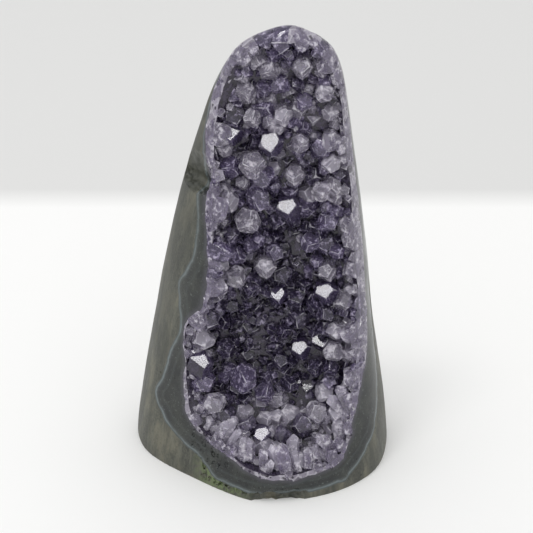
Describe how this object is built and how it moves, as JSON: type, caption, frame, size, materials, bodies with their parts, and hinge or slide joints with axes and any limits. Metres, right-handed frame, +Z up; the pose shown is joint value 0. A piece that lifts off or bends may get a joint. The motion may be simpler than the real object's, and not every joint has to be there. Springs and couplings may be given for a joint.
{
  "type": "amethyst cluster",
  "caption": "Standing piece of amethyst geode wall, ground to a tapered free form on a flat base, with a crystal-lined hollow inside a polished agate rim.",
  "frame": {"origin": "middle of the base's outline, on the surface that it stands on", "axes": "+Z up along the height, -Y towards the crystal-lined front, +X to the right of someone facing it"},
  "size_m": [0.0706, 0.0531, 0.122],
  "materials": {
    "basalt": "satin",
    "agate": "polished",
    "quartz_bed": "gloss",
    "pale_amethyst": "polished",
    "amethyst": "polished",
    "deep_amethyst": "polished"
  },
  "bodies": {
    "root": {"basalt_rind": "basalt", "agate_lining": "agate", "quartz_bed": "quartz_bed", "crown_crystal_1": "pale_amethyst", "crown_crystal_2": "pale_amethyst", "crown_crystal_3": "pale_amethyst", "crown_crystal_4": "pale_amethyst", "crown_crystal_5": "pale_amethyst", "crown_crystal_6": "pale_amethyst", "crown_crystal_7": "pale_amethyst", "crown_crystal_8": "pale_amethyst", "upper_crystal_1": "pale_amethyst", "upper_crystal_2": "pale_amethyst", "upper_crystal_3": "pale_amethyst", "upper_crystal_4": "pale_amethyst", "upper_crystal_5": "pale_amethyst", "upper_crystal_6": "pale_amethyst", "upper_crystal_7": "pale_amethyst", "upper_crystal_8": "pale_amethyst", "upper_crystal_9": "pale_amethyst", "upper_crystal_10": "pale_amethyst", "middle_crystal_1": "amethyst", "middle_crystal_2": "amethyst", "middle_crystal_3": "amethyst", "middle_crystal_4": "amethyst", "middle_crystal_5": "amethyst", "middle_crystal_6": "amethyst", "middle_crystal_7": "amethyst", "middle_crystal_8": "amethyst", "left_wall_crystal_1": "pale_amethyst", "left_wall_crystal_2": "pale_amethyst", "left_wall_crystal_3": "pale_amethyst", "left_wall_crystal_4": "pale_amethyst", "left_wall_crystal_5": "pale_amethyst", "left_wall_crystal_6": "pale_amethyst", "hollow_crystal_1": "deep_amethyst", "hollow_crystal_2": "deep_amethyst", "hollow_crystal_3": "deep_amethyst", "hollow_crystal_4": "deep_amethyst", "hollow_crystal_5": "deep_amethyst", "hollow_crystal_6": "deep_amethyst", "hollow_crystal_7": "deep_amethyst", "hollow_crystal_8": "deep_amethyst", "hollow_crystal_9": "deep_amethyst", "right_wall_crystal_1": "pale_amethyst", "right_wall_crystal_2": "pale_amethyst", "right_wall_crystal_3": "pale_amethyst", "right_wall_crystal_4": "pale_amethyst", "right_wall_crystal_5": "pale_amethyst", "lower_lip_crystal_1": "pale_amethyst", "lower_lip_crystal_2": "pale_amethyst", "lower_lip_crystal_3": "pale_amethyst", "lower_lip_crystal_4": "pale_amethyst", "lower_lip_crystal_5": "pale_amethyst", "lower_lip_crystal_6": "pale_amethyst"}
  },
  "joints": []
}
